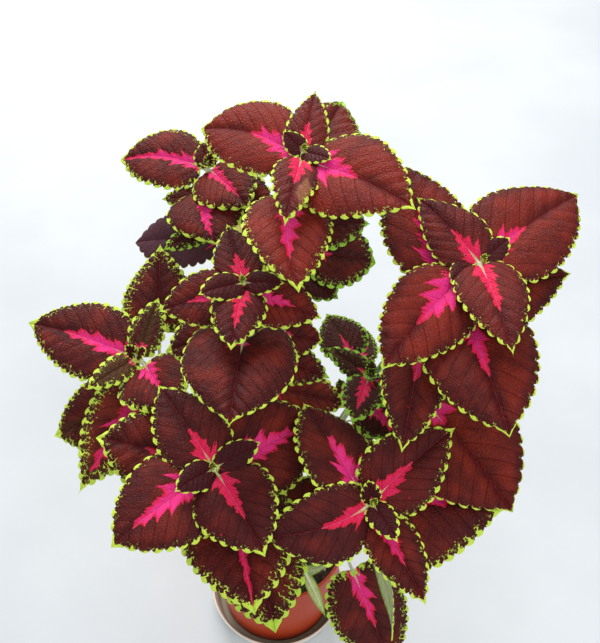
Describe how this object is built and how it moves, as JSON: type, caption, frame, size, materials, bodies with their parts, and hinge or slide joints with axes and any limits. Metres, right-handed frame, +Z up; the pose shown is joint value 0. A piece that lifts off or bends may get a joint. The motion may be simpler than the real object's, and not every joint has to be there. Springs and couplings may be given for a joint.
{
  "type": "potted coleus",
  "caption": "Coleus plant with maroon leaves, pink centres and scalloped lime-green margins, growing in a tapered round pot that stands on a saucer.",
  "frame": {"origin": "middle of the saucer's underside, on the pot's axis", "axes": "+Z up along the pot's axis, -Y towards the side the leaves face, +X to the right seen from there"},
  "size_m": [0.4193, 0.4039, 0.4944],
  "materials": {
    "saucer": "satin",
    "pot": "satin",
    "soil": "matt, crumbly",
    "foliage": "satin"
  },
  "bodies": {
    "root": {"saucer": "saucer", "pot": "pot", "soil": "soil", "stem_crown": "foliage", "stem_left_top": "foliage", "stem_middle": "foliage", "stem_right": "foliage", "stem_left": "foliage", "stem_front_left": "foliage", "stem_front_right": "foliage", "stem_inner": "foliage", "stem_low_front": "foliage", "stem_back": "foliage", "stem_back_low": "foliage"}
  },
  "joints": []
}
